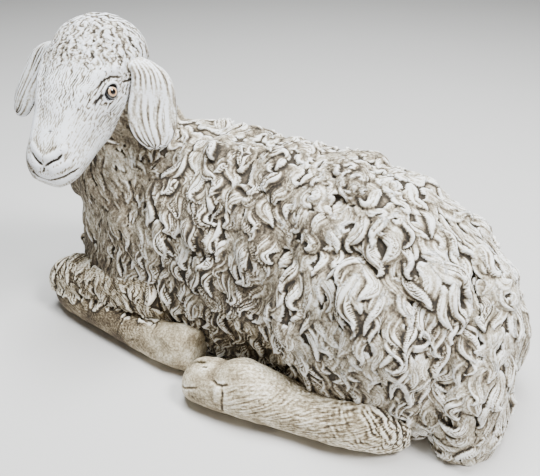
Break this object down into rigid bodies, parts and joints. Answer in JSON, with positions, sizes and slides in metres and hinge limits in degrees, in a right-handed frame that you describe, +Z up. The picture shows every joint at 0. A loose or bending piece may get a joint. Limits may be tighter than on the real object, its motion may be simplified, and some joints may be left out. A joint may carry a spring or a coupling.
{
  "type": "sheep figurine",
  "caption": "Lying sheep ornament in cast stone mix, with a turned head, drooping ears, folded legs and a curled fleece.",
  "frame": {"origin": "on the ground, under the middle of the figure's bounding box", "axes": "+X from the head end to the tail, +Z up, -Y the sheep's left, towards which it looks"},
  "size_m": [0.3624, 0.2086, 0.2323],
  "materials": {
    "fleece_stone": "matt, with a dark wash rubbed into the hollows and pale dry-brushed crests",
    "head_stone": "matt, with a dark wash rubbed into the hollows and pale dry-brushed crests",
    "ear_stone": "matt, with a dark wash rubbed into the hollows and pale dry-brushed crests",
    "leg_stone": "matt, with a dark wash rubbed into the hollows and pale dry-brushed crests",
    "tail_stone": "matt, with a dark wash rubbed into the hollows and pale dry-brushed crests",
    "plug_stone": "bare grey stone mix, as cast",
    "eye_glass": "polished dome over an amber iris with a black pupil",
    "dowel_steel": "plain drawn bar"
  },
  "bodies": {
    "root": {"body": "fleece_stone", "head": "head_stone", "left_ear": "ear_stone", "right_ear": "ear_stone", "left_eye": "eye_glass", "right_eye": "eye_glass", "left_foreleg": "leg_stone", "right_foreleg": "leg_stone", "left_hind_leg": "leg_stone", "right_hind_leg": "leg_stone", "tail": "tail_stone", "neck_dowel": "dowel_steel", "base_plug": "plug_stone"}
  },
  "joints": []
}
